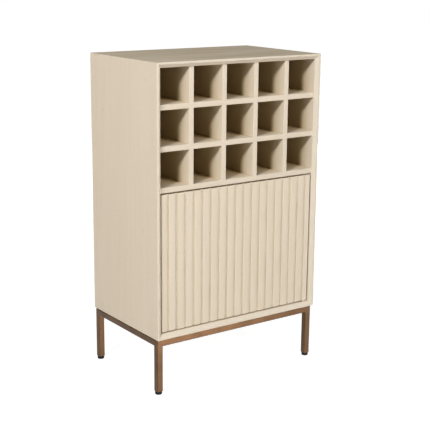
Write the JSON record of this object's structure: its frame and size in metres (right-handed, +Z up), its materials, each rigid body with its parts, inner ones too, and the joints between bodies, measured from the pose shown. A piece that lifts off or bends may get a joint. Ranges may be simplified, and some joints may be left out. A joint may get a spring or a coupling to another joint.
{
  "type": "wine cabinet",
  "caption": "Free-standing wine cabinet: a mitred wooden case with an open bottle rack above a ribbed push-to-open door, on a low metal tube base with levelling feet.",
  "frame": {"origin": "on the floor, under the middle of the case's width and depth", "axes": "+Z up, +X to the right as seen from the front, the front faces -Y"},
  "size_m": [0.6, 0.38, 0.9919],
  "materials": {
    "whitewashed_wood": "whitewashed, matt",
    "inner_wood": "whitewashed, matt",
    "bronze_tube": "satin bronze-brown lacquer",
    "steel": "plain zinc-plated",
    "nylon": "natural",
    "black_plastic": "matt"
  },
  "bodies": {
    "cabinet": {"top_panel": "whitewashed_wood", "bottom_panel": "whitewashed_wood", "left_side_panel": "whitewashed_wood", "right_side_panel": "whitewashed_wood", "rack_floor": "whitewashed_wood", "rack_shelf_1": "whitewashed_wood", "rack_shelf_2": "whitewashed_wood", "rack_divider_1": "whitewashed_wood", "rack_divider_2": "whitewashed_wood", "rack_divider_3": "whitewashed_wood", "rack_divider_4": "whitewashed_wood", "back_panel": "inner_wood", "cupboard_shelf": "inner_wood", "front_rail": "bronze_tube", "rear_rail": "bronze_tube", "left_rail": "bronze_tube", "right_rail": "bronze_tube", "leg_front_left": "bronze_tube", "leg_front_right": "bronze_tube", "leg_rear_left": "bronze_tube", "leg_rear_right": "bronze_tube", "corner_plate_front_left": "bronze_tube", "corner_plate_front_right": "bronze_tube", "corner_plate_rear_left": "bronze_tube", "corner_plate_rear_right": "bronze_tube", "shelf_peg_front_left": "steel", "shelf_peg_front_right": "steel", "shelf_peg_rear_left": "steel", "shelf_peg_rear_right": "steel", "lower_pivot_plate": "steel", "upper_pivot_plate": "steel", "lower_pivot_screw": "steel", "upper_pivot_screw": "steel", "latch_screw_lower": "steel", "latch_screw_upper": "steel", "base_screw_front_left": "steel", "base_screw_front_right": "steel", "base_screw_rear_left": "steel", "base_screw_rear_right": "steel", "lower_pivot_bush": "nylon", "upper_pivot_bush": "nylon", "lower_thrust_washer": "nylon", "latch_housing": "black_plastic", "leg_plug_front_left": "black_plastic", "leg_plug_front_right": "black_plastic", "leg_plug_rear_left": "black_plastic", "leg_plug_rear_right": "black_plastic"},
    "door": {"door_panel": "whitewashed_wood", "strike_plate": "steel", "strike_screw": "steel", "lower_pivot_pin": "steel", "upper_pivot_pin": "steel"},
    "latch_plunger": {"latch_plunger": "nylon", "latch_magnet": "steel"},
    "foot_front_left": {"foot_front_left": "black_plastic"},
    "foot_front_right": {"foot_front_right": "black_plastic"},
    "foot_rear_left": {"foot_rear_left": "black_plastic"},
    "foot_rear_right": {"foot_rear_right": "black_plastic"}
  },
  "joints": [
    {"name": "door_hinge", "type": "hinge", "parent": "cabinet", "child": "door", "pos_m": [0.271, -0.171, 0.1949], "axis": [0, 0, 1], "range_deg": [0, 105]},
    {"name": "latch_push", "type": "slide", "parent": "cabinet", "child": "latch_plunger", "axis": [0, 1, 0], "range_m": [0, 0.003], "stiffness_N_per_m": 600, "springref_m": -0.008},
    {"name": "foot_front_left_level", "type": "slide", "parent": "cabinet", "child": "foot_front_left", "axis": [0, 0, -1], "range_m": [0, 0.008]},
    {"name": "foot_front_right_level", "type": "slide", "parent": "cabinet", "child": "foot_front_right", "axis": [0, 0, -1], "range_m": [0, 0.008]},
    {"name": "foot_rear_left_level", "type": "slide", "parent": "cabinet", "child": "foot_rear_left", "axis": [0, 0, -1], "range_m": [0, 0.008]},
    {"name": "foot_rear_right_level", "type": "slide", "parent": "cabinet", "child": "foot_rear_right", "axis": [0, 0, -1], "range_m": [0, 0.008]}
  ]
}
